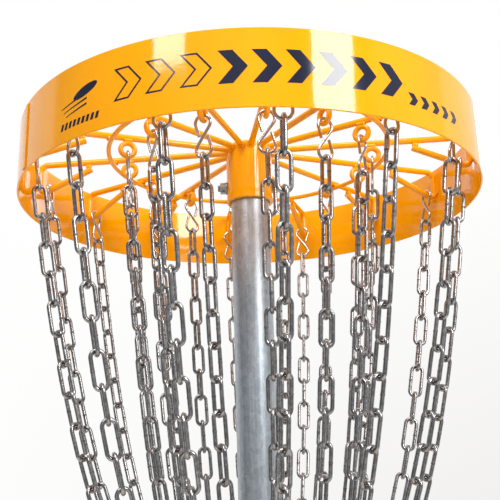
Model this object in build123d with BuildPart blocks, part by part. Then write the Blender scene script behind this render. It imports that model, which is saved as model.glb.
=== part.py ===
from build123d import *
import math
import os

# Disc golf basket, in millimetres. The origin is on the ground under the pole, +Z is up, and the
# sides are round, so X and Y only matter to the bolts, which run along X, and to the band's seam.

# Heights
rim_height = 820          # top of the cage's rim above the ground
catch_height = 520        # open height from the rim to the lower edge of the band
cage_depth = 200          # rim down to the middle of the bottom ring

# Pole, the plug in its top, and the sleeves that slide over it
pole_od = 48.3
pole_wall = 2.6
pole_top_drop = 9         # top of the pole below the top of the rack's collar
cap_flange = 3
cap_skirt = 14
cap_wall = 2
cap_clearance = 0.3
cap_rounding = 2
sleeve_wall = 4.35
sleeve_clearance = 0.5
sleeve_chamfer = 0.6

# Band
band_od = 566
band_height = 81
band_sheet = 2
band_rounding = 0.6
seam_angle = -148.8
seam_width = 9
seam_thickness = 1.5
seam_margin = 3

# Rack: arms of bent rod on a collar
arm_count = 14
arm_angle = -82.5         # angle of the first arm about +Z, from +X
arm_rod = 8
arm_top_gap = 0.5         # top of the arms below the band's top edge
arm_top_bend = 10
arm_corner_bend = 7
arm_corner_drop = 41      # outer corner below the arm, where it turns back
return_reach = 208        # radius where the returning rod ends, just under the arm
return_drop = 9.5         # end of the returning rod below the arm, centre to centre
return_weld = 3.5         # radius of the weld between the two, just outwards of the end
return_weld_drop = 6      # middle of that weld below the arm's middle
collar_raise = 6          # lower end of the collar above the band's lower edge
rack_ring_radius = 178
rack_ring_rod = 6
eye_reach = 157
eye_rod = 6.5
eye_od = 23.5
outer_hook_inset = 13.3   # outer hooks inwards of the arm's outer corner

# Chains: long links below an S-hook
link_wire = 4.5
link_length = 43.5
link_width = 18
hook_wire = 3.5
hook_length = 52
hook_width = 21.5
hook_tip = 13             # straight free end of a hook
hook_tip_lean = 16        # how far it leans inwards, in degrees
chain_gap = 0.4           # play between two links that hang in each other
chain_ring_radius = 58
chain_ring_rod = 6
inner_slack = 4.5         # length of an inner chain beyond the straight line it spans
outer_slack = 6           # least that an outer chain has
swirl = 32                # most that the links of a chain turn about it, in degrees
swirl_step = 2.4          # how the turn changes from chain to chain, in radians
swirl_start = 0.7

# Cage
cage_wire = 6
wall_wire_count = 28
wall_wire_drop = 2        # top of the wall's wires below the top of the rim
floor_wire_count = 14
rim_radius = 325
rim_rod = 10
bottom_ring_rod = 8
middle_ring_drop = 97
floor_ring_radii = [120, 220]
hub_length = 60
hub_bolt_drop = 30        # below the floor's wires

# Base
plate_size = 400
plate_thickness = 8
plate_corner = 30
plate_chamfer = 1
anchor_inset = 40         # anchor holes inwards of the plate's edges
anchor_hole = 14
socket_length = 160
socket_bolt_drop = 48     # below the socket's top
gusset_reach = 90
gusset_height = 110
gusset_thickness = 6
gusset_lip = 12

# M8 bolts through the sleeves
bolt_d = 8
bolt_hole = 9
bolt_flats = 13
bolt_head = 5.3
nut_height = 6.8
bolt_end = 3
washer_od = 16
washer_thickness = 1.6
collar_bolt_raise = 21    # above the collar's lower end
thread_clearance = 0.1
seat_gap = 0.05

weld_sink = 0.3           # how far a welded rod sinks into its neighbour

# Places that follow from the sizes above
band_bottom = rim_height + catch_height
band_top = band_bottom + band_height
band_ir = band_od / 2 - band_sheet
sleeve_id = pole_od + 2 * sleeve_clearance
sleeve_od = sleeve_id + 2 * sleeve_wall
sleeve_r = sleeve_od / 2
arm_z = band_top - arm_top_gap - arm_rod / 2
arm_step = 360 / arm_count
leg_reach = band_ir - arm_rod / 2 + weld_sink
collar_bottom = band_bottom + collar_raise
pole_top = band_top - pole_top_drop
bottom_ring_z = rim_height - cage_depth
wall_reach = rim_radius - rim_rod / 2 - cage_wire / 2 + weld_sink
bottom_ring_radius = wall_reach - cage_wire / 2 - bottom_ring_rod / 2 + weld_sink
floor_z = bottom_ring_z + bottom_ring_rod / 2 + cage_wire / 2 - weld_sink
floor_ring_z = floor_z - cage_wire + weld_sink
socket_top = plate_thickness + socket_length
hub_top = floor_z + cage_wire
sleeve_spans = {
    "base_socket": (plate_thickness, socket_top, socket_top - socket_bolt_drop),
    "cage_hub": (hub_top - hub_length, hub_top, floor_z - hub_bolt_drop),
    "hub_collar": (collar_bottom, band_top, collar_bottom + collar_bolt_raise),
}
bolt_heights = [bolt for low, high, bolt in sleeve_spans.values()]

os.makedirs("parts", exist_ok=True)


def save(name, shape):
    shape.label = name
    export_step(shape, f"parts/{name}.step")


def ring_part(radius, rod, height):
    with BuildPart() as ring:
        with BuildSketch(Plane.XZ) as section:
            with Locations((radius, height)):
                Circle(rod / 2)
        revolve(axis=Axis.Z)
    return ring.part


# Base: a square ground plate with four anchor holes, a socket welded on it and four gussets.
with BuildPart() as base_plate:
    with BuildSketch():
        RectangleRounded(plate_size, plate_size, plate_corner)
        anchor_spacing = plate_size - 2 * anchor_inset
        with GridLocations(anchor_spacing, anchor_spacing, 2, 2):
            Circle(anchor_hole / 2, mode=Mode.SUBTRACT)
    extrude(amount=plate_thickness)
    chamfer(base_plate.faces().sort_by(Axis.Z)[-1].outer_wire().edges(), plate_chamfer)
save("base_plate", base_plate.part)

foot = sleeve_r - weld_sink
gusset_outline = [
    (foot, plate_thickness),
    (foot + gusset_reach, plate_thickness),
    (foot + gusset_reach, plate_thickness + gusset_lip),
    (foot + gusset_lip, plate_thickness + gusset_height),
    (foot, plate_thickness + gusset_height),
]
with BuildPart() as base_gussets:
    for number in range(4):
        outwards = Vector(1, 0, 0).rotate(Axis.Z, 45 + number * 90)
        upright = Plane(origin=(0, 0, 0), x_dir=outwards, z_dir=outwards.cross(Vector(0, 0, 1)))
        with BuildSketch(upright):
            Polygon(*gusset_outline, align=None)
        extrude(amount=gusset_thickness / 2, both=True)
save("base_gussets", base_gussets.part)

# Three sleeves of one tube slide over the pole: the base's socket, the cage's hub and the rack's
# collar. Each is held by a bolt along X, so the pole is drilled at the same heights.
for name, (low, high, bolt) in sleeve_spans.items():
    with BuildPart() as sleeve:
        with BuildSketch(Plane.XY.offset(low)):
            Circle(sleeve_r)
            Circle(sleeve_id / 2, mode=Mode.SUBTRACT)
        extrude(amount=high - low)
        with BuildSketch(Plane.YZ.offset(-sleeve_od)):
            with Locations((0, bolt)):
                Circle(bolt_hole / 2)
        extrude(amount=2 * sleeve_od, mode=Mode.SUBTRACT)
        chamfer(sleeve.faces().filter_by(Axis.Z).edges(), sleeve_chamfer)
    save(name, sleeve.part)

with BuildPart() as pole:
    with BuildSketch(Plane.XY.offset(plate_thickness)):
        Circle(pole_od / 2)
        Circle(pole_od / 2 - pole_wall, mode=Mode.SUBTRACT)
    extrude(amount=pole_top - plate_thickness)
    for bolt in bolt_heights:
        with BuildSketch(Plane.YZ.offset(-pole_od)):
            with Locations((0, bolt)):
                Circle(bolt_hole / 2)
        extrude(amount=2 * pole_od, mode=Mode.SUBTRACT)
save("pole", pole.part)

# A plastic plug closes the top of the pole: a flange on the tube's end and a skirt inside it.
with BuildPart() as pole_cap:
    with BuildSketch(Plane.XY.offset(pole_top)):
        Circle(pole_od / 2)
    extrude(amount=cap_flange)
    fillet(pole_cap.faces().sort_by(Axis.Z)[-1].edges(), cap_rounding)
    with BuildSketch(Plane.XY.offset(pole_top)):
        skirt_r = pole_od / 2 - pole_wall - cap_clearance
        Circle(skirt_r)
        Circle(skirt_r - cap_wall, mode=Mode.SUBTRACT)
    extrude(amount=-cap_skirt)
save("pole_cap", pole_cap.part)

# Bolts: the head and a washer on the +X side, a nut and a washer on the -X side.
seat = sleeve_r + seat_gap
with BuildPart() as bolts:
    for bolt in bolt_heights:
        with BuildSketch(Plane.YZ.offset(seat + washer_thickness)):
            with Locations((0, bolt)):
                RegularPolygon(bolt_flats / 2, 6, major_radius=False)
        extrude(amount=bolt_head)
        with BuildSketch(Plane.YZ.offset(-seat - washer_thickness - nut_height - bolt_end)):
            with Locations((0, bolt)):
                Circle(bolt_d / 2)
        extrude(amount=2 * (seat + washer_thickness) + nut_height + bolt_end)
save("through_bolts", bolts.part)

with BuildPart() as nuts:
    for bolt in bolt_heights:
        with BuildSketch(Plane.YZ.offset(-seat - washer_thickness)):
            with Locations((0, bolt)):
                RegularPolygon(bolt_flats / 2, 6, major_radius=False)
                Circle(bolt_d / 2 + thread_clearance, mode=Mode.SUBTRACT)
        extrude(amount=-nut_height)
save("lock_nuts", nuts.part)

with BuildPart() as washers:
    for bolt in bolt_heights:
        for start in (seat, -seat - washer_thickness):
            with BuildSketch(Plane.YZ.offset(start)):
                with Locations((0, bolt)):
                    Circle(washer_od / 2)
                    Circle(bolt_d / 2 + thread_clearance, mode=Mode.SUBTRACT)
            extrude(amount=washer_thickness)
save("washers", washers.part)

# Cage: upright wires inside a thick rim and a middle ring, round a bottom ring that the floor's
# wires lie on. Long floor wires reach the hub, and short ones start at the inner floor ring.
save("cage_rim", ring_part(rim_radius, rim_rod, rim_height - rim_rod / 2))
middle_radius = wall_reach + cage_wire - weld_sink
save("cage_middle_ring", ring_part(middle_radius, cage_wire, rim_height - middle_ring_drop))
save("cage_bottom_ring", ring_part(bottom_ring_radius, bottom_ring_rod, bottom_ring_z))
for place, radius in zip(("inner", "outer"), floor_ring_radii):
    save(f"cage_floor_ring_{place}", ring_part(radius, cage_wire, floor_ring_z))

with BuildPart() as wall_wires:
    with BuildSketch(Plane.XY.offset(bottom_ring_z - bottom_ring_rod / 2)):
        with PolarLocations(wall_reach, wall_wire_count, start_angle=arm_angle):
            Circle(cage_wire / 2)
    extrude(amount=cage_depth + bottom_ring_rod / 2 - wall_wire_drop)
save("cage_wall_wires", wall_wires.part)

floor_end = bottom_ring_radius + cage_wire / 2 - weld_sink
floor_starts = {
    "long": (sleeve_r - weld_sink, arm_angle),
    "short": (floor_ring_radii[0] - cage_wire, arm_angle + 180 / floor_wire_count),
}
for name, (start, first) in floor_starts.items():
    with BuildPart() as floor_wires:
        for number in range(floor_wire_count):
            outwards = Vector(1, 0, 0).rotate(Axis.Z, first + number * 360 / floor_wire_count)
            inner_end = outwards * start + Vector(0, 0, floor_z)
            with BuildSketch(Plane(origin=inner_end, z_dir=outwards)):
                Circle(cage_wire / 2)
            extrude(amount=floor_end - start)
    save(f"cage_floor_wires_{name}", floor_wires.part)

# Band: a rolled sheet with a narrow seam strip on its outside.
with BuildPart() as band:
    with BuildSketch(Plane.XY.offset(band_bottom)):
        Circle(band_od / 2)
        Circle(band_ir, mode=Mode.SUBTRACT)
    extrude(amount=band_height)
    fillet(band.faces().filter_by(Axis.Z).edges(), band_rounding)
save("band", band.part)

with BuildPart() as band_seam:
    half = math.degrees(seam_width / band_od)
    inner_r = band_od / 2
    outer_r = band_od / 2 + seam_thickness
    with BuildSketch(Plane.XY.offset(band_bottom + seam_margin)):
        with BuildLine():
            inner_arc = CenterArc((0, 0), inner_r, seam_angle - half, 2 * half)
            outer_arc = CenterArc((0, 0), outer_r, seam_angle - half, 2 * half)
            Line(inner_arc @ 0, outer_arc @ 0)
            Line(inner_arc @ 1, outer_arc @ 1)
        make_face()
    extrude(amount=band_height - 2 * seam_margin)
save("band_seam", band_seam.part)


# Rack: each arm is one rod. It runs from the collar to the band, bends down along the band, turns
# back at the corner where an outer chain hangs, and is welded under itself.
return_end = (return_reach, arm_z - return_drop)
corner = (leg_reach, arm_z - arm_corner_drop)
leg_middle = (leg_reach, (arm_z + corner[1]) / 2)


def rod_along(points, bend, rod):
    with BuildPart() as piece:
        with BuildLine(Plane.XZ) as route:
            FilletPolyline(*points, radius=bend)
        with BuildSketch(Plane(origin=route.line @ 0, z_dir=route.line % 0)):
            Circle(rod / 2)
        sweep(path=route.line)
    return piece.part


arm_start = (sleeve_r - weld_sink, arm_z)
outward_rod = rod_along([arm_start, (leg_reach, arm_z), leg_middle], arm_top_bend, arm_rod)
return_rod = rod_along([leg_middle, corner, return_end], arm_corner_bend, arm_rod)
with BuildPart() as arm:
    add(outward_rod)
    add(return_rod)
    with Locations((return_reach + return_weld, 0, arm_z - return_weld_drop)):
        Sphere(return_weld)

with BuildPart() as rack_arms:
    with PolarLocations(0, arm_count, start_angle=arm_angle):
        add(arm.part)
save("rack_arms", rack_arms.part)

rack_ring_z = arm_z - arm_rod / 2 - rack_ring_rod / 2 + weld_sink
save("rack_ring", ring_part(rack_ring_radius, rack_ring_rod, rack_ring_z))

eye_circle = (eye_od - eye_rod) / 2
eye_z = arm_z - arm_rod / 2 - eye_od / 2 + weld_sink
with BuildPart() as chain_eyes:
    with PolarLocations(0, arm_count, start_angle=arm_angle):
        with Locations(Location((eye_reach, 0, eye_z), (90, 0, 0))):
            Torus(eye_circle, eye_rod / 2)
save("chain_eyes", chain_eyes.part)

# Chains. A link is a closed loop of wire, built along X with its width along Y. A hook is an S of
# wire in the same plane, and its free ends lean inwards.
straight = link_length - link_width
link_circle = (link_width - link_wire) / 2
with BuildPart() as link:
    with BuildLine() as loop:
        side = Line((-straight / 2, link_circle), (straight / 2, link_circle))
        TangentArc(side @ 1, (straight / 2, -link_circle), tangent=side % 1)
        back = Line((straight / 2, -link_circle), (-straight / 2, -link_circle))
        TangentArc(back @ 1, (-straight / 2, link_circle), tangent=back % 1)
    with BuildSketch(Plane(origin=side @ 0.5, z_dir=side % 0.5)):
        Circle(link_wire / 2)
    sweep(path=loop.line)

hook_circle = (hook_width - hook_wire) / 2
hook_centre = hook_length / 2 - hook_wire / 2 - hook_circle
lean = math.degrees(math.asin(hook_circle / hook_centre))
with BuildPart() as hook:
    with BuildLine() as bend:
        sweep_angle = 180 + lean + hook_tip_lean
        top = CenterArc((hook_centre, 0), hook_circle, -90 - hook_tip_lean, sweep_angle)
        low = CenterArc((-hook_centre, 0), hook_circle, lean - 90, -sweep_angle)
        tip = Line(top @ 0 - (top % 0) * hook_tip, top @ 0)
        Line(top @ 1, low @ 0)
        Line(low @ 1, low @ 1 + (low % 1) * hook_tip)
    with BuildSketch(Plane(origin=tip @ 0, z_dir=tip % 0)):
        Circle(hook_wire / 2)
    sweep(path=bend.line)


def hang(low, high, length):
    """Shape of a chain of this length between two points (distance out, height): a catenary."""
    width = high[0] - low[0]
    drop = high[1] - low[1]
    sag = math.sqrt(length**2 - drop**2)
    small, large = width / 50, width * 1000
    for _ in range(100):
        scale = math.sqrt(small * large)
        if 2 * scale * math.sinh(width / (2 * scale)) > sag:
            small = scale
        else:
            large = scale
    middle = scale * math.atanh(drop / length)
    vertex = (low[0] + high[0]) / 2 - middle
    floor = low[1] - scale * math.cosh((low[0] - vertex) / scale)
    first = scale * math.sinh((low[0] - vertex) / scale)

    def point(distance):
        out = vertex + scale * math.asinh((first + distance) / scale)
        return out, floor + scale * math.cosh((out - vertex) / scale)

    return point


link_pitch = link_length - 2 * link_wire - chain_gap
hook_pitch = hook_length - 2 * hook_wire - chain_gap
below_ring = (chain_ring_rod + chain_gap) / 2


def chain_length(links, rod):
    """From the middle of the ring's rod to the middle of the rod that the hook hangs on."""
    return links * link_pitch + hook_pitch - below_ring - (rod + chain_gap) / 2


def chain_solids(number, links, support, angle_at_ring):
    """The hook and links of one chain, from the rod it hangs on to the ring."""
    angle = math.radians(arm_angle + number * arm_step)
    low_angle = angle + math.radians(angle_at_ring)
    reach, height, rod = support
    high = Vector(reach * math.cos(angle), reach * math.sin(angle), height)
    low_x = chain_ring_radius * math.cos(low_angle)
    low = Vector(low_x, chain_ring_radius * math.sin(low_angle), ring_height)
    outwards = Vector(high.X - low.X, high.Y - low.Y, 0)
    sideways = outwards.normalized().cross(Vector(0, 0, 1))
    point = hang((0, low.Z), (outwards.length, high.Z), chain_length(links, rod))

    def at(distance):
        out, z = point(distance)
        return Vector(low.X, low.Y, z) + outwards.normalized() * out

    solids = []
    start = -below_ring
    for index in range(links + 1):
        piece = hook.part if index == links else link.part
        end = start + (hook_pitch if index == links else link_pitch)
        along = (at(end) - at(start)).normalized()
        share = index / (links - 1)
        weave = math.sin(swirl_step * number + swirl_start) * math.sin(math.pi * share)
        turn = index * 90 + swirl * weave
        if links % 2 == 0:
            turn += 90 * share
        if index == links:
            turn = -90
        facing = sideways.rotate(Axis(origin=(0, 0, 0), direction=along), turn)
        place = Plane(origin=(at(start) + at(end)) / 2, x_dir=along, z_dir=facing)
        solids.append(piece.moved(place.location))
        start = end
    return solids


# The inner chains hold the ring up, so it hangs where their length lets it, just above the rim. The
# outer chains have as many links as they need to reach it.
inner_support = (eye_reach, eye_z - eye_circle, eye_rod)
inner_width = eye_reach - chain_ring_radius
longest = math.hypot(inner_width, inner_support[1] - rim_height) + inner_slack
inner_links = math.floor((longest - chain_length(0, eye_rod)) / link_pitch)
inner_span = chain_length(inner_links, eye_rod) - inner_slack
ring_height = inner_support[1] - math.sqrt(inner_span**2 - inner_width**2)
save("chain_ring", ring_part(chain_ring_radius, chain_ring_rod, ring_height))

outer_reach = leg_reach - outer_hook_inset
return_slope = (return_end[1] - corner[1]) / (corner[0] - return_end[0])
outer_support = (outer_reach, corner[1] + outer_hook_inset * return_slope, arm_rod)
outer_span = math.hypot(outer_reach - chain_ring_radius, outer_support[1] - ring_height)
outer_links = math.ceil((outer_span + outer_slack - chain_length(0, arm_rod)) / link_pitch)

rows = {
    "outer": (outer_links, outer_support, -arm_step / 4),
    "inner": (inner_links, inner_support, arm_step / 4),
}
for row, (links, support, angle_at_ring) in rows.items():
    for number in range(arm_count):
        pieces = chain_solids(number, links, support, angle_at_ring)
        save(f"chain_{row}_{number + 1:02d}", Compound(children=pieces))
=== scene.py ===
import math

import bmesh
import bpy
import numpy as np
from mathutils import Matrix, Vector


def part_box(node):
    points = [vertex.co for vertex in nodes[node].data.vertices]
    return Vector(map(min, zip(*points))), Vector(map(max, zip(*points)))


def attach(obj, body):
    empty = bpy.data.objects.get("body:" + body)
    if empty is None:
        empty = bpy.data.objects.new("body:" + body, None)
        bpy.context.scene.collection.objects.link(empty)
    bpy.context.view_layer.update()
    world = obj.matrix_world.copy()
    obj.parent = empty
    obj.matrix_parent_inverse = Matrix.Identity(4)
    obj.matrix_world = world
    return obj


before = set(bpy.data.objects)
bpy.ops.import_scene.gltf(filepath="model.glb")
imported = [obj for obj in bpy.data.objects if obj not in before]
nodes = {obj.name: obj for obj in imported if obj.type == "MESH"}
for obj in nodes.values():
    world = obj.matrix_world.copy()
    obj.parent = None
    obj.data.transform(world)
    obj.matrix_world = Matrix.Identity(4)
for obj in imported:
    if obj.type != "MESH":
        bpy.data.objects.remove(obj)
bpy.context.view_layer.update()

# ---------------------------------------------------------------------------------------------
# Camera. It stands in front of the basket at chest height and looks up under the band, tipped
# slightly to one side.
# ---------------------------------------------------------------------------------------------
eye = bpy.data.objects.new("camera", bpy.data.cameras.new("camera"))
bpy.context.collection.objects.link(eye)
eye.data.lens = 52.95
eye.data.clip_start = 0.05
turn_left = Matrix.Rotation(math.radians(0.13), 4, "Z")
look_up = Matrix.Rotation(math.radians(90 + 15.43), 4, "X")
tip = Matrix.Rotation(math.radians(-1.73), 4, "Z")
eye.matrix_world = Matrix.Translation((0, -0.885, 1.0404)) @ turn_left @ look_up @ tip
bpy.context.scene.camera = eye
bpy.context.scene.view_settings.view_transform = "Standard"

# ---------------------------------------------------------------------------------------------
# Studio. A pale round floor, white paper behind the basket with a darker room on the camera's side,
# and four soft boxes: a tall one at the right, a weak one at the left, one above and one behind.
# ---------------------------------------------------------------------------------------------
world = bpy.data.worlds.new("studio")
bpy.context.scene.world = world
world.use_nodes = True


class Wire:
    """A node's output in one tree. Sums on it add Math nodes, and node() adds any other node."""

    def __init__(self, tree, output=None):
        self.tree = tree
        self.output = output

    def node(self, kind, settings=None, sockets=None, out=0):
        made = self.tree.nodes.new(kind)
        for name, value in (settings or {}).items():
            setattr(made, name, value)
        for name, value in (sockets or {}).items():
            if isinstance(value, Wire):
                self.tree.links.new(value.output, made.inputs[name])
            else:
                made.inputs[name].default_value = value
        return Wire(self.tree, made.outputs[out] if made.outputs else None)

    def maths(self, operation, first, second=0.0):
        return self.node("ShaderNodeMath", {"operation": operation}, {0: first, 1: second})

    def __add__(self, other):
        return self.maths("ADD", self, other)

    __radd__ = __add__

    def __mul__(self, other):
        return self.maths("MULTIPLY", self, other)

    __rmul__ = __mul__

    def __sub__(self, other):
        return self.maths("SUBTRACT", self, other)

    def __rsub__(self, other):
        return self.maths("SUBTRACT", other, self)

    def clamp(self):
        return self.node("ShaderNodeClamp", {}, {"Value": self})

    def between(self, low, high):
        """0 below low and 1 above high, smooth in between."""
        settings = {"interpolation_type": "SMOOTHSTEP"}
        return self.node("ShaderNodeMapRange", settings, {"Value": self, "From Min": low, "From Max": high})

    def mix(self, first, second):
        """A colour between two others, by this mask."""
        return self.node("ShaderNodeMix", {"data_type": "RGBA"}, {0: self, 6: first, 7: second}, out=2)


def azimuth(wire, direction):
    """Degrees round from the front (-Y) towards +X, of a direction given as a wire."""
    across = wire.node("ShaderNodeSeparateXYZ", {}, {0: direction}, out=0)
    ahead = wire.node("ShaderNodeSeparateXYZ", {}, {0: direction}, out=1)
    return wire.maths("ARCTAN2", across, ahead * -1.0) * 57.2958


sky = Wire(world.node_tree)
world.node_tree.nodes.clear()
towards = sky.node("ShaderNodeTexCoord", out=0)
round_to = azimuth(sky, towards)
height_of = sky.node("ShaderNodeSeparateXYZ", {}, {0: towards}, out=2)
paper_right = round_to.between(104, 107)
paper_left = (round_to * -1.0).between(98, 110)
wall_right = round_to.between(56, 64) * 0.34
front = 0.24 + (1.0 - round_to.between(2, 30)) * round_to.between(-45, -10) * 0.30
lit = (front + wall_right).clamp()
level = (lit + paper_right + paper_left).clamp()
overhead = height_of.between(0.72, 0.95) * 0.25
glow_colour = (level + overhead).clamp().mix((0.0, 0.0, 0.0, 1), (1.0, 1.0, 1.0, 1))
glow_tint = level.mix((0.90, 0.97, 1.06, 1), (1.0, 1.0, 1.0, 1))
backdrop = sky.node("ShaderNodeMix", {"data_type": "RGBA", "blend_type": "MULTIPLY"}, {
    0: 1.0, 6: glow_colour, 7: glow_tint}, out=2)
across = sky.node("ShaderNodeSeparateXYZ", {}, {0: towards}, out=0)
# The backdrop the camera sees: near-white paper with painted shade, a warm grey that deepens towards the
# bottom and towards the right.
painted_shade = (0.34 - height_of).clamp() * (0.22 + across * 0.5).clamp()
plain_colour = (painted_shade * 2.6).clamp().mix((1.0, 1.0, 0.998, 1), (0.70, 0.68, 0.645, 1))
seen = sky.node("ShaderNodeLightPath", out=0)
glow = sky.node("ShaderNodeBackground", {}, {"Color": backdrop, "Strength": 1.0})
plain = sky.node("ShaderNodeBackground", {}, {"Color": plain_colour, "Strength": 1.0})
either = sky.node("ShaderNodeMixShader", {}, {0: seen, 1: glow, 2: plain})
sky.node("ShaderNodeOutputWorld", {}, {"Surface": either})

floor_mesh = bpy.data.meshes.new("floor")
floor = bpy.data.objects.new("floor", floor_mesh)
bpy.context.collection.objects.link(floor)
shape = bmesh.new()
bmesh.ops.create_circle(shape, cap_ends=True, radius=1.7, segments=96)
shape.to_mesh(floor_mesh)
shape.free()
paper = bpy.data.materials.new("floor_paper")
paper.use_nodes = True
paper.node_tree.nodes.clear()
sheet = Wire(paper.node_tree)
grain = sheet.node("ShaderNodeTexNoise", {}, {"Scale": 9.0, "Detail": 6.0})
sheet_surface = sheet.node("ShaderNodeBsdfPrincipled", {}, {
    "Base Color": grain.mix((0.78, 0.78, 0.77, 1), (0.84, 0.84, 0.83, 1)), "Roughness": 0.7})
sheet.node("ShaderNodeOutputMaterial", {}, {"Surface": sheet_surface})
floor_mesh.materials.append(paper)

target = Vector((0, 0, 1.3))
soft_boxes = {
    # name: (direction round from the front, height above the target, distance, width, height, roll, watts)
    "box_right": (37.0, 0.80, 2.25, 0.70, 1.10, -5, 44),
    "box_left": (-33.5, 1.56, 2.25, 0.60, 0.60, 0, 15),
    "box_above": (-12, 3.10, 1.9, 1.60, 1.30, 0, 65),
    "box_back": (165, 1.2, 2.4, 1.6, 1.6, 0, 18),
}
for name, (round_by, rise, away, wide, high, roll, watts) in soft_boxes.items():
    lamp = bpy.data.objects.new(name, bpy.data.lights.new(name, "AREA"))
    bpy.context.collection.objects.link(lamp)
    lamp.data.shape = "RECTANGLE"
    lamp.data.size = wide
    lamp.data.size_y = high
    lamp.data.energy = watts
    turn = math.radians(round_by)
    spot = target + Vector((away * math.sin(turn), -away * math.cos(turn), rise))
    facing = (target - spot).to_track_quat("-Z", "Y").to_matrix().to_4x4()
    lamp.matrix_world = Matrix.Translation(spot) @ facing @ Matrix.Rotation(math.radians(roll), 4, "Z")


# ---------------------------------------------------------------------------------------------
# Base and pole. A steel plate with a socket and four gussets welded on it, and a tube dropped in
# the socket. All are hot-dip galvanised: a dull blue-grey zinc skin with spangle and runs.
# ---------------------------------------------------------------------------------------------
def finish(name):
    """A new material with one shader, and the wire to build on."""
    made = bpy.data.materials.new(name)
    made.use_nodes = True
    made.node_tree.nodes.clear()
    return made, Wire(made.node_tree)


def surface(wire, bump, sockets):
    """The shader and output of a material. bump is (height, strength, distance in metres)."""
    height, strength, distance = bump
    normal = wire.node("ShaderNodeBump", {}, {"Height": height, "Strength": strength, "Distance": distance})
    shader = wire.node("ShaderNodeBsdfPrincipled", {}, {**sockets, "Normal": normal})
    wire.node("ShaderNodeOutputMaterial", {}, {"Surface": shader})


def stretched(wire, scale):
    """Object coordinates drawn out or squeezed along each axis."""
    here = wire.node("ShaderNodeTexCoord", out=3)
    return wire.node("ShaderNodeVectorMath", {"operation": "MULTIPLY"}, {0: here, 1: scale})


galvanised, zinc = finish("galvanised_steel")
streaks = zinc.node("ShaderNodeTexNoise", {}, {
    "Vector": stretched(zinc, (1, 1, 0.02)), "Scale": 330.0, "Detail": 4.0, "Roughness": 0.55})
grain = zinc.node("ShaderNodeTexNoise", {}, {
    "Vector": stretched(zinc, (1, 1, 0.7)), "Scale": 650.0, "Detail": 3.0, "Roughness": 0.6})
spangle = zinc.node("ShaderNodeTexVoronoi", {}, {
    "Vector": stretched(zinc, (1, 1, 0.6)), "Scale": 260.0}, out=1)
flake = zinc.node("ShaderNodeSeparateColor", {}, {0: spangle})
specks = zinc.node("ShaderNodeTexNoise", {}, {
    "Vector": stretched(zinc, (1, 1, 1)), "Scale": 300.0, "Detail": 1.0}).between(0.775, 0.80)
tone = (streaks * 0.5 + grain * 0.35 + flake * 0.15).between(0.30, 0.70)
skin = specks.mix(tone.mix((0.35, 0.395, 0.435, 1), (0.57, 0.615, 0.65, 1)), (0.07, 0.065, 0.06, 1))
surface(zinc, (streaks * 0.5 + grain * 0.5, 0.16, 0.0003), {
    "Base Color": skin, "Metallic": 0.82, "Roughness": 0.36 + tone * 0.08 + specks * 0.3})
for name in ("base_plate", "base_socket", "base_gussets", "pole"):
    nodes[name].material_slots[0].material = galvanised


def weld_run(shape, points, thick, closed=False, pitch=0.0022):
    """Adds one bead to a bmesh: a tube along the points, in metres, with the ripples of its puddles."""
    sides = 8
    rings = []
    travelled = 0.0
    for step, point in enumerate(points):
        here = Vector(point)
        before = Vector(points[step - 1]) if step or closed else here
        after = Vector(points[(step + 1) % len(points)]) if step < len(points) - 1 or closed else here
        ahead = (after - before).normalized()
        travelled += (here - before).length
        side = ahead.orthogonal() if not rings else (last_side - ahead * last_side.dot(ahead)).normalized()
        side.normalize()
        last_side = side
        other = ahead.cross(side)
        ends = 1.0 if closed or 0 < step < len(points) - 1 else 0.35
        radius = thick * ends * (1 + 0.13 * math.sin(travelled / pitch * 2 * math.pi))
        rings.append([
            shape.verts.new(here + radius * (side * math.cos(turn) + other * math.sin(turn)))
            for turn in (2 * math.pi * number / sides for number in range(sides))])
    for step in range(len(rings) if closed else len(rings) - 1):
        following = rings[(step + 1) % len(rings)]
        for number in range(sides):
            beyond = (number + 1) % sides
            shape.faces.new((rings[step][number], rings[step][beyond], following[beyond], following[number]))
    if not closed:
        shape.faces.new(rings[0])
        shape.faces.new(rings[-1])


def weld_piece(name, runs, material):
    """One object of many beads: runs is a list of (points, thickness, closed)."""
    shape = bmesh.new()
    for points, thick, closed in runs:
        weld_run(shape, points, thick, closed)
    bmesh.ops.recalc_face_normals(shape, faces=shape.faces)
    for face in shape.faces:
        face.smooth = True
    mesh = bpy.data.meshes.new(name)
    shape.to_mesh(mesh)
    shape.free()
    piece = bpy.data.objects.new(name, mesh)
    bpy.context.collection.objects.link(piece)
    mesh.materials.append(material)
    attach(piece, "root")


def straight_run(start, end, spacing=0.0007):
    """Points along a straight bead."""
    start, end = Vector(start), Vector(end)
    count = max(3, int((end - start).length / spacing))
    return [start.lerp(end, step / count) for step in range(count + 1)]


def swung(point, degrees):
    """A point (out, sideways, up) turned about the pole."""
    turn = math.radians(degrees)
    out, aside, up = point
    return Vector((
        out * math.cos(turn) - aside * math.sin(turn), out * math.sin(turn) + aside * math.cos(turn), up))


plate_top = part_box("base_plate")[1][2]
socket_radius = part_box("base_socket")[1][0]
gusset_half = 0.003
base_bead = 0.0028
base_runs = [([swung((socket_radius, 0, plate_top), step * 2) for step in range(180)], base_bead, True)]
for number in range(4):
    for side in (-1, 1):
        aside = side * (gusset_half + 0.001)
        foot = [swung(point, 45 + 90 * number) for point in straight_run(
            (socket_radius + 0.004, aside, plate_top), (socket_radius + 0.088, aside, plate_top))]
        post = [swung(point, 45 + 90 * number) for point in straight_run(
            (socket_radius, aside, plate_top + 0.004), (socket_radius, aside, plate_top + 0.108))]
        base_runs += [(foot, base_bead, False), (post, base_bead, False)]
weld_piece("welds_base", base_runs, galvanised)

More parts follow.
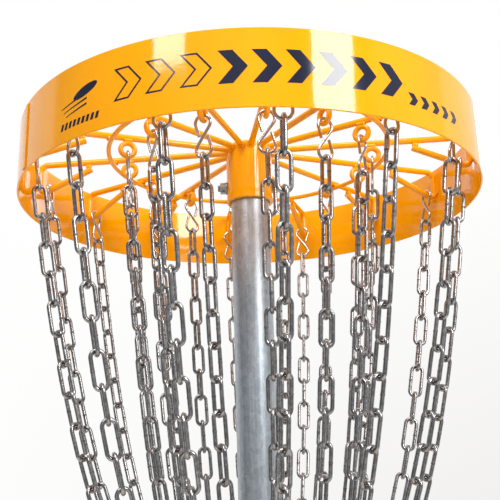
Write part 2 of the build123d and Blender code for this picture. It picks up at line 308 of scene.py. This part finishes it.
# ---------------------------------------------------------------------------------------------
# Bolts, nuts, washers and the plug in the top of the pole. The fasteners are bright zinc plate
# with a faint yellow passivation, and the plug is moulded black plastic.
# ---------------------------------------------------------------------------------------------
plated, plating = finish("zinc_fastener")
brushed = plating.node("ShaderNodeTexNoise", {}, {
    "Vector": stretched(plating, (1, 1, 1)), "Scale": 900.0, "Detail": 3.0})
stain = plating.node("ShaderNodeTexNoise", {}, {"Vector": stretched(plating, (1, 1, 1)), "Scale": 160.0})
along_bolt = plating.node("ShaderNodeSeparateXYZ", {}, {0: plating.node("ShaderNodeTexCoord", out=3)}, out=0)
thread_pitch = 0.00125
nut_end = -0.0374
threaded = 1.0 - along_bolt.between(nut_end - 0.0001, nut_end)
ridges = plating.maths("SINE", along_bolt * (2 * math.pi / thread_pitch)) * threaded
surface(plating, (brushed * 0.15 + ridges, 0.6, 0.0004), {
    "Base Color": stain.between(0.4, 0.65).mix((0.36, 0.355, 0.35, 1), (0.20, 0.18, 0.15, 1)),
    "Metallic": 1.0, "Roughness": 0.24 + brushed * 0.14})
for name in ("through_bolts", "lock_nuts", "washers"):
    nodes[name].material_slots[0].material = plated

moulded, plastic = finish("black_plastic")
pores = plastic.node("ShaderNodeTexNoise", {}, {
    "Vector": stretched(plastic, (1, 1, 1)), "Scale": 1400.0, "Detail": 2.0})
surface(plastic, (pores, 0.3, 0.0001), {
    "Base Color": pores.mix((0.012, 0.012, 0.012, 1), (0.03, 0.03, 0.03, 1)),
    "Roughness": 0.45 + pores * 0.15})
nodes["pole_cap"].material_slots[0].material = moulded

# ---------------------------------------------------------------------------------------------
# Cage, collar, rack and band. Steel wire, rod, tube and sheet, welded and then powder coated in a
# glossy amber yellow. The coat flows out slightly uneven, like orange peel.
# ---------------------------------------------------------------------------------------------
coated, powder = finish("yellow_powder_coat")
peel = powder.node("ShaderNodeTexNoise", {}, {
    "Vector": stretched(powder, (1, 1, 1)), "Scale": 330.0, "Detail": 2.0, "Roughness": 0.5})
ripple = powder.node("ShaderNodeTexNoise", {}, {
    "Vector": stretched(powder, (1, 1, 1)), "Scale": 70.0, "Detail": 1.0})
shade = powder.node("ShaderNodeTexNoise", {}, {
    "Vector": stretched(powder, (1, 1, 1)), "Scale": 14.0, "Detail": 3.0})
dust = powder.node("ShaderNodeTexNoise", {}, {
    "Vector": stretched(powder, (1, 1, 1)), "Scale": 700.0, "Detail": 1.0}).between(0.74, 0.82)
amber = shade.between(0.3, 0.7).mix((0.95, 0.358, 0.0005, 1), (0.99, 0.388, 0.0006, 1))
surface(powder, (peel * 0.35 + ripple * 0.65, 0.20, 0.0004), {
    "Base Color": dust.mix(amber, (0.72, 0.27, 0.008, 1)), "Roughness": 0.055 + peel * 0.03 + dust * 0.15,
    "Specular IOR Level": 0.42})
coated_nodes = [
    "cage_hub", "cage_floor_wires_long", "cage_floor_wires_short", "cage_floor_ring_inner",
    "cage_floor_ring_outer", "cage_bottom_ring", "cage_middle_ring", "cage_rim", "cage_wall_wires",
    "hub_collar", "rack_arms", "rack_ring", "chain_eyes", "band", "band_seam",
]
for name in coated_nodes:
    nodes[name].material_slots[0].material = coated

arm_count = 14
first_arm = -82.5
arm_radius = 0.004
band_low, band_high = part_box("band")
arm_height = band_high[2] - 0.0045
collar_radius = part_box("hub_collar")[1][0]
hub_low, hub_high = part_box("cage_hub")
wire_radius = 0.003
floor_height = hub_high[2] - 2 * wire_radius


def saddle(sleeve_radius, rod_radius, height, first, last):
    """Part of the line where a level rod meets a sleeve, between two angles from straight up."""
    points = []
    for step in range(25):
        turn = math.radians(first + (last - first) * step / 24)
        aside = rod_radius * math.sin(turn)
        points.append((math.sqrt(sleeve_radius**2 - aside**2), aside, height + rod_radius * math.cos(turn)))
    return points


eye_out = 0.157
ring_out = 0.178
leg_out = band_high[0] - 0.002 - arm_radius
return_out = 0.2085  # the returning rod's end is welded to the arm here
under = arm_height - arm_radius
rack_seams = (
    # (start out and up), (end out and up), distance to each side, thickness: eye, ring, then leg.
    ((eye_out - 0.0055, under + 0.0003), (eye_out + 0.0055, under + 0.0003), 0.0018, 0.0024),
    ((ring_out - 0.0045, under + 0.0006), (ring_out + 0.0045, under + 0.0006), 0.003, 0.0018),
    ((leg_out + 0.0036, under - 0.004), (leg_out + 0.0036, under - 0.028), 0.003, 0.0014),
)
rack_runs = []
hub_runs = []
for number in range(arm_count):
    facing = first_arm + number * 360 / arm_count
    lines = [(saddle(collar_radius + 0.0004, arm_radius + 0.0006, arm_height, 62, 298), 0.0013)]
    for (near, near_up), (far, far_up), side, thick in rack_seams:
        for aside in (side, -side):
            lines.append((straight_run((near, aside, near_up), (far, aside, far_up)), thick))
    end_seam = straight_run((return_out, 0, under - 0.0018), (return_out + 0.0075, 0, under - 0.0026))
    lines.append((end_seam, 0.0032))
    rack_runs += [([swung(point, facing) for point in line], thick, False) for line, thick in lines]
    hub_line = saddle(hub_high[0] + 0.0003, wire_radius + 0.0005, floor_height, 0, 345)
    hub_runs.append(([swung(point, facing) for point in hub_line], 0.001, True))
weld_piece("welds_rack", rack_runs, coated)
weld_piece("welds_hub", hub_runs, coated)

# ---------------------------------------------------------------------------------------------
# Graphics on the band: dark navy vinyl cut in plain shapes and rolled flat on the coat. A flying
# disc with speed lines stands at the left, then outlined, solid and small arrowheads.
# ---------------------------------------------------------------------------------------------
band_radius = band_high[0]
vinyl_lift = 0.00012
strip = 3

vinyl, ink = finish("navy_vinyl")
fade = ink.node("ShaderNodeTexNoise", {}, {"Vector": stretched(ink, (1, 1, 1)), "Scale": 45.0, "Detail": 3.0})
wave = ink.node("ShaderNodeTexNoise", {}, {"Vector": stretched(ink, (1, 1, 1)), "Scale": 60.0, "Detail": 1.0})
surface(ink, (wave, 0.20, 0.0004), {
    "Base Color": fade.mix((0.010, 0.011, 0.030, 1), (0.015, 0.017, 0.040, 1)),
    "Roughness": 0.09 + fade * 0.04})


def decal(name, outlines):
    """Flat outlines of (distance along the band from the front, height), in millimetres, wrapped on it.
    A pair of outlines is a loop between an outer and an inner edge."""
    shape = bmesh.new()
    for outer, inner in outlines:
        rim = [shape.verts.new((x, 0, z)) for x, z in outer]
        if inner is None:
            shape.faces.new(rim)
            continue
        hole = [shape.verts.new((x, 0, z)) for x, z in inner]
        for step in range(len(rim)):
            following = (step + 1) % len(rim)
            shape.faces.new((rim[step], rim[following], hole[following], hole[step]))
    bmesh.ops.remove_doubles(shape, verts=shape.verts, dist=0.01)
    span = [vert.co.x for vert in shape.verts]
    for cut in range(int(min(span) / strip) - 1, int(max(span) / strip) + 2):
        everything = shape.verts[:] + shape.edges[:] + shape.faces[:]
        bmesh.ops.bisect_plane(
            shape, geom=everything, plane_co=(cut * strip, 0, 0), plane_no=(1, 0, 0), dist=1e-5)
    for vert in shape.verts:
        turn = vert.co.x / 1000 / band_radius
        out = band_radius + vinyl_lift
        vert.co = (out * math.sin(turn), -out * math.cos(turn), band_low[2] + vert.co.z / 1000)
    shape.normal_update()
    for face in shape.faces:
        face.smooth = True
        middle = face.calc_center_median()
        if face.normal.x * middle.x + face.normal.y * middle.y < 0:
            face.normal_flip()
    mesh = bpy.data.meshes.new(name)
    shape.to_mesh(mesh)
    shape.free()
    outwards = [Vector((*vert.co.xy, 0)).normalized() for vert in mesh.vertices]
    mesh.normals_split_custom_set_from_vertices(outwards)
    piece = bpy.data.objects.new(name, mesh)
    bpy.context.collection.objects.link(piece)
    mesh.materials.append(vinyl)
    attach(piece, "root")
    return piece


def inset(outline, by):
    """The outline moved inwards by a distance, corners mitred. Points run anticlockwise."""
    moved = []
    for step, point in enumerate(outline):
        before = Vector(point) - Vector(outline[step - 1])
        after = Vector(outline[(step + 1) % len(outline)]) - Vector(point)
        first = Vector((-before.y, before.x)).normalized()
        second = Vector((-after.y, after.x)).normalized()
        moved.append(Vector(point) + (first + second) * by / (1 + first.dot(second)))
    return moved


def arrowhead(start, low, high, arm, point):
    """A chevron that points right, with its points anticlockwise."""
    middle = (low + high) / 2
    return [(start, low), (start + arm, low), (start + arm + point, middle),
            (start + arm, high), (start, high), (start + point, middle)]


def halves(outline):
    """The lower and the upper half of a chevron, each a plain four-sided patch."""
    return [([outline[corner] for corner in corners], None) for corners in ((0, 1, 2, 5), (5, 2, 3, 4))]


outlined = []
for number in range(3):
    edge = arrowhead(-131 + number * 34.5, 24, 58, 17, 14)
    outlined.append((edge, inset(edge, 1.8)))
decal("decal_outlined", outlined)
solid = [half for number in range(6) for half in halves(arrowhead(-26 + number * 31.5, 24, 58, 14, 14))]
small = [half for number in range(5) for half in halves(arrowhead(166 + number * 17, 21, 34, 8, 5))]
decal("decal_solid", solid)
decal("decal_small", small)

disc = []
tilt = math.radians(17)
for step in range(48):
    turn = math.radians(step * 7.5)
    long_way, short_way = 17 * math.cos(turn), 5.2 * math.sin(turn)
    disc.append((-168 + long_way * math.cos(tilt) - short_way * math.sin(tilt),
                 47 + long_way * math.sin(tilt) + short_way * math.cos(tilt)))
lines = [(disc, None)]
for start, length, height in ((-203, 30, 36), (-199, 34, 31), (-195, 30, 26)):
    rise = length * math.tan(tilt) * 0.6
    lines.append(([(start, height), (start + length, height + rise), (start + length, height + rise + 2.2),
                   (start, height + 0.8)], None))
decal("decal_disc", lines)
decal("decal_bars", [([(-203 + number * 6.2, 13), (-199.4 + number * 6.2, 13), (-197.4 + number * 6.2, 20),
                       (-201 + number * 6.2, 20)], None) for number in range(9)])

# ---------------------------------------------------------------------------------------------
# Chains, hooks and the ring that gathers them. The links are bent and butt-welded galvanised wire,
# mottled darker at random, and the S-hooks at the top are brighter plated wire.
# ---------------------------------------------------------------------------------------------
linked, steel = finish("zinc_chain")
place = steel.node("ShaderNodeTexCoord", out=3)
mottle = steel.node("ShaderNodeTexNoise", {}, {
    "Vector": place, "Scale": 210.0, "Detail": 4.0, "Roughness": 0.6})
grit = steel.node("ShaderNodeTexNoise", {}, {"Vector": place, "Scale": 900.0, "Detail": 2.0})
inner_hook_foot = 1.352
outer_hook_foot = 1.3415
level_place = steel.node("ShaderNodeVectorMath", {"operation": "MULTIPLY"}, {0: place, 1: (1, 1, 0)})
from_pole = steel.node("ShaderNodeVectorMath", {"operation": "LENGTH"}, {0: level_place}, out=1)
far_out = from_pole.between(0.205, 0.215)
height_now = steel.node("ShaderNodeSeparateXYZ", {}, {0: place}, out=2)
above_foot = height_now + far_out * (inner_hook_foot - outer_hook_foot)
bright = above_foot.between(inner_hook_foot - 0.001, inner_hook_foot + 0.001)
worn = mottle.between(0.35, 0.65)
dull = worn.mix((0.255, 0.243, 0.237, 1), (0.40, 0.387, 0.378, 1))
surface(steel, (grit * 0.5 + mottle, 0.22, 0.0002), {
    "Base Color": bright.mix(dull, (0.54, 0.51, 0.48, 1)), "Metallic": 1.0,
    "Roughness": 0.20 + worn * 0.05 + grit * 0.04 - bright * 0.06})
nodes["chain_ring"].material_slots[0].material = linked

scorched, scale_skin = finish("link_weld")
flecks = scale_skin.node("ShaderNodeTexNoise", {}, {
    "Vector": scale_skin.node("ShaderNodeTexCoord", out=3), "Scale": 1500.0, "Detail": 3.0})
surface(scale_skin, (flecks, 0.5, 0.0003), {
    "Base Color": flecks.mix((0.07, 0.062, 0.058, 1), (0.24, 0.225, 0.215, 1)),
    "Metallic": 0.8, "Roughness": 0.42 + flecks * 0.2})


def loose_solids(mesh):
    """Vertex positions of each separate solid of a mesh."""
    places = np.empty(len(mesh.vertices) * 3)
    mesh.vertices.foreach_get("co", places)
    places, copies = np.unique(np.round(places.reshape(-1, 3), 6), axis=0, return_inverse=True)
    pairs = np.empty(len(mesh.edges) * 2, dtype=np.int64)
    mesh.edges.foreach_get("vertices", pairs)
    pairs = copies.reshape(-1)[pairs].reshape(-1, 2)
    labels = np.arange(len(places))
    while True:
        lower = np.minimum(labels[pairs[:, 0]], labels[pairs[:, 1]])
        spread = labels.copy()
        np.minimum.at(spread, pairs[:, 0], lower)
        np.minimum.at(spread, pairs[:, 1], lower)
        spread = spread[spread]
        if (spread == labels).all():
            return [places[labels == label] for label in np.unique(labels)]
        labels = spread


link_wire = 0.0045
weld_profile = (
    # (distance along the wire, radius as a share of the wire's)
    (-0.0013, 0.96), (-0.0007, 1.07), (-0.00025, 1.10), (0.0, 0.99), (0.00025, 1.10), (0.0007, 1.07),
    (0.0013, 0.96),
)
weld_sides = 14
for name, node in nodes.items():
    if not name.startswith(("chain_outer", "chain_inner")):
        continue
    node.material_slots[0].material = linked
    solids = sorted(loose_solids(node.data), key=lambda places: places[:, 2].mean())
    shape = bmesh.new()
    for number, places in enumerate(solids[:-1]):
        middle = (places.max(axis=0) + places.min(axis=0)) / 2
        spread, axes = np.linalg.eigh(np.cov((places - middle).T))
        along, across, flat = Vector(axes[:, 2]), Vector(axes[:, 1]), Vector(axes[:, 0])
        if across.dot(Vector((0.35, 0.82, 0.45))) < 0:
            across = -across
        half_width = np.abs((places - middle) @ axes[:, 1]).max() - link_wire / 2
        centre = Vector(middle) + across * half_width * (-1) ** (number // 2)
        rings = []
        for shift, swell in weld_profile:
            rings.append([
                shape.verts.new(centre + along * shift + link_wire / 2 * swell * (
                    across * math.cos(turn) + flat * math.sin(turn)))
                for turn in (2 * math.pi * step / weld_sides for step in range(weld_sides))])
        for first, second in zip(rings, rings[1:]):
            for step in range(weld_sides):
                beyond = (step + 1) % weld_sides
                shape.faces.new((first[step], first[beyond], second[beyond], second[step]))
    bmesh.ops.recalc_face_normals(shape, faces=shape.faces)
    for face in shape.faces:
        face.smooth = True
    mesh = bpy.data.meshes.new("welds_" + name)
    shape.to_mesh(mesh)
    shape.free()
    piece = bpy.data.objects.new("welds_" + name, mesh)
    bpy.context.collection.objects.link(piece)
    mesh.materials.append(scorched)
    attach(piece, name)
